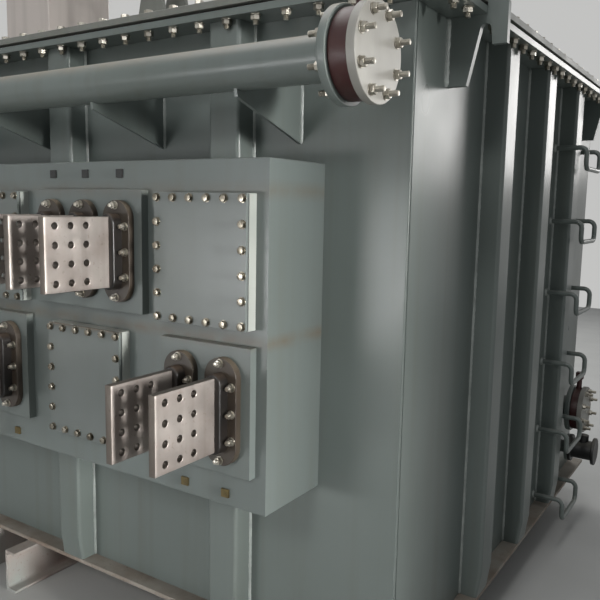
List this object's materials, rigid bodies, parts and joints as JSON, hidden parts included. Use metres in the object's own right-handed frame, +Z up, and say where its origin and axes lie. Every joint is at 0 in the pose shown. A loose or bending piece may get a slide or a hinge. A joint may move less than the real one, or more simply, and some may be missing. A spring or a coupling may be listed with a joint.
{
  "type": "power transformer",
  "caption": "Oil-filled power transformer tank with box ribs, bolted cover, low-voltage terminal box with drilled flag terminals, header pipe, lifting hooks and step irons",
  "frame": {"origin": "Floor level, in the middle of the whole transformer seen from above, with its terminals and hooks.", "axes": "+X along the long walls towards the end wall with the step irons, -Y out of the terminal box, +Z up."},
  "size_m": [3.6192, 2.8198, 2.3801],
  "materials": {
    "tank_paint": "glossy pale blue-grey paint",
    "cover_paint": "grey-green paint",
    "gasket_rubber": "dark rubber",
    "tinned_copper": "tinned copper bar cast into a dark insulator",
    "valve_red": "dark maroon paint",
    "flange_grey": "pale grey paint",
    "cast_black": "black cast iron",
    "panel_paint": "pale warm grey paint"
  },
  "bodies": {
    "root": {"tank_base": "tank_paint", "wall_front": "tank_paint", "wall_back": "tank_paint", "wall_end_right": "tank_paint", "wall_end_left": "tank_paint", "rim_flange": "tank_paint", "cover_gasket": "gasket_rubber", "tank_cover": "cover_paint", "terminal_box": "tank_paint", "hatch_upper_1": "tank_paint", "bushing_plate_upper_1": "tank_paint", "terminal_upper_1_1": "tinned_copper", "terminal_upper_1_2": "tinned_copper", "terminal_upper_1_3": "tinned_copper", "hatch_lower_1": "tank_paint", "bushing_plate_lower_1": "tank_paint", "terminal_lower_1_1": "tinned_copper", "terminal_lower_1_2": "tinned_copper", "hatch_upper_2": "tank_paint", "bushing_plate_upper_2": "tank_paint", "terminal_upper_2_1": "tinned_copper", "terminal_upper_2_2": "tinned_copper", "terminal_upper_2_3": "tinned_copper", "hatch_lower_2": "tank_paint", "bushing_plate_lower_2": "tank_paint", "terminal_lower_2_1": "tinned_copper", "terminal_lower_2_2": "tinned_copper", "hatch_upper_3": "tank_paint", "bushing_plate_upper_3": "tank_paint", "terminal_upper_3_1": "tinned_copper", "terminal_upper_3_2": "tinned_copper", "terminal_upper_3_3": "tinned_copper", "hatch_lower_3": "tank_paint", "bushing_plate_lower_3": "tank_paint", "terminal_lower_3_1": "tinned_copper", "terminal_lower_3_2": "tinned_copper", "header_pipe": "flange_grey", "header_valve_right": "valve_red", "header_valve_left": "valve_red", "header_blind_right": "flange_grey", "header_blind_left": "flange_grey", "bottom_valve": "valve_red", "bottom_blind": "flange_grey", "drain_valve": "cast_black", "cover_box": "panel_paint"}
  },
  "joints": []
}
